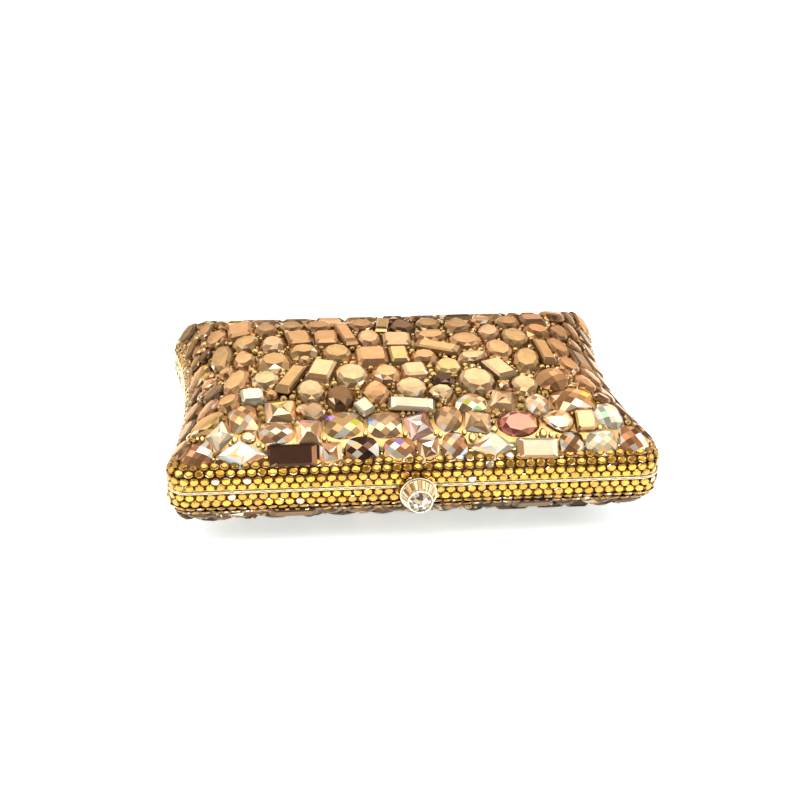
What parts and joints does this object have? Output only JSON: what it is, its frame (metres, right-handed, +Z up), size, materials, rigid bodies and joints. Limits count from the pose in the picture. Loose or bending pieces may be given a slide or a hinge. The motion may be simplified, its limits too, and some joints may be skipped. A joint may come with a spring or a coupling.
{
  "type": "evening bag",
  "caption": "Hard-shell evening bag: two domed stone-covered halves on gold frames, hinged along one edge, with a push-button clasp.",
  "frame": {"origin": "middle of the flat facet of the back stone panel, which the bag rests on", "axes": "+X along the width, -Y towards the clasp edge, +Y towards the hinge edge, +Z up through the front panel"},
  "size_m": [0.1948, 0.1341, 0.0572],
  "materials": {
    "frame_gold": "polished light gold plate",
    "pale_gold": "polished pale gold plate",
    "spring_steel": "bright spring steel",
    "shell_metal": "pressed sheet, gold lacquered",
    "lining_satin": "woven satin on card",
    "topaz_stone": "foil-backed topaz rhinestones",
    "champagne_stone": "foil-backed champagne crystals",
    "clear_crystal": "foil-backed clear crystal"
  },
  "bodies": {
    "back_half": {"back_frame": "frame_gold", "back_shell": "shell_metal", "back_lining": "lining_satin", "back_rhinestone_band": "topaz_stone", "back_stone_panel": "champagne_stone", "hinge_leaf_back_left": "frame_gold", "hinge_leaf_back_right": "frame_gold", "hinge_rivet_back_1": "frame_gold", "hinge_rivet_back_2": "frame_gold", "hinge_rivet_back_3": "frame_gold", "hinge_rivet_back_4": "frame_gold", "hinge_pin_left": "spring_steel", "catch_rivet_left": "spring_steel", "hinge_pin_right": "spring_steel", "catch_rivet_right": "spring_steel", "catch_spring": "spring_steel", "button_sleeve": "pale_gold"},
    "front_half": {"front_frame": "frame_gold", "front_shell": "shell_metal", "front_lining": "lining_satin", "front_rhinestone_band": "topaz_stone", "front_stone_panel": "champagne_stone", "hinge_leaf_front_left": "frame_gold", "hinge_leaf_front_right": "frame_gold", "hinge_rivet_front_1": "frame_gold", "hinge_rivet_front_2": "frame_gold", "hinge_rivet_front_3": "frame_gold", "hinge_rivet_front_4": "frame_gold", "tongue_rivet_left": "spring_steel", "tongue_rivet_right": "spring_steel", "latch_tongue": "spring_steel"},
    "clasp_button": {"clasp_knob": "pale_gold", "clasp_stone_ring": "clear_crystal", "clasp_crystal": "clear_crystal", "clasp_stem": "spring_steel", "clasp_retainer": "spring_steel", "clasp_spring": "spring_steel"}
  },
  "joints": [
    {"name": "lid_hinge", "type": "hinge", "parent": "back_half", "child": "front_half", "pos_m": [0, 0.0614, 0.0286], "axis": [-1, 0, 0], "range_deg": [0, 100], "deforming": ["catch_spring"]},
    {"name": "clasp_push", "type": "slide", "parent": "back_half", "child": "clasp_button", "axis": [0, 1, 0], "range_m": [0, 0.0015], "stiffness_N_per_m": 400, "springref_m": -0.0005, "deforming": ["catch_spring", "clasp_spring"]}
  ]
}
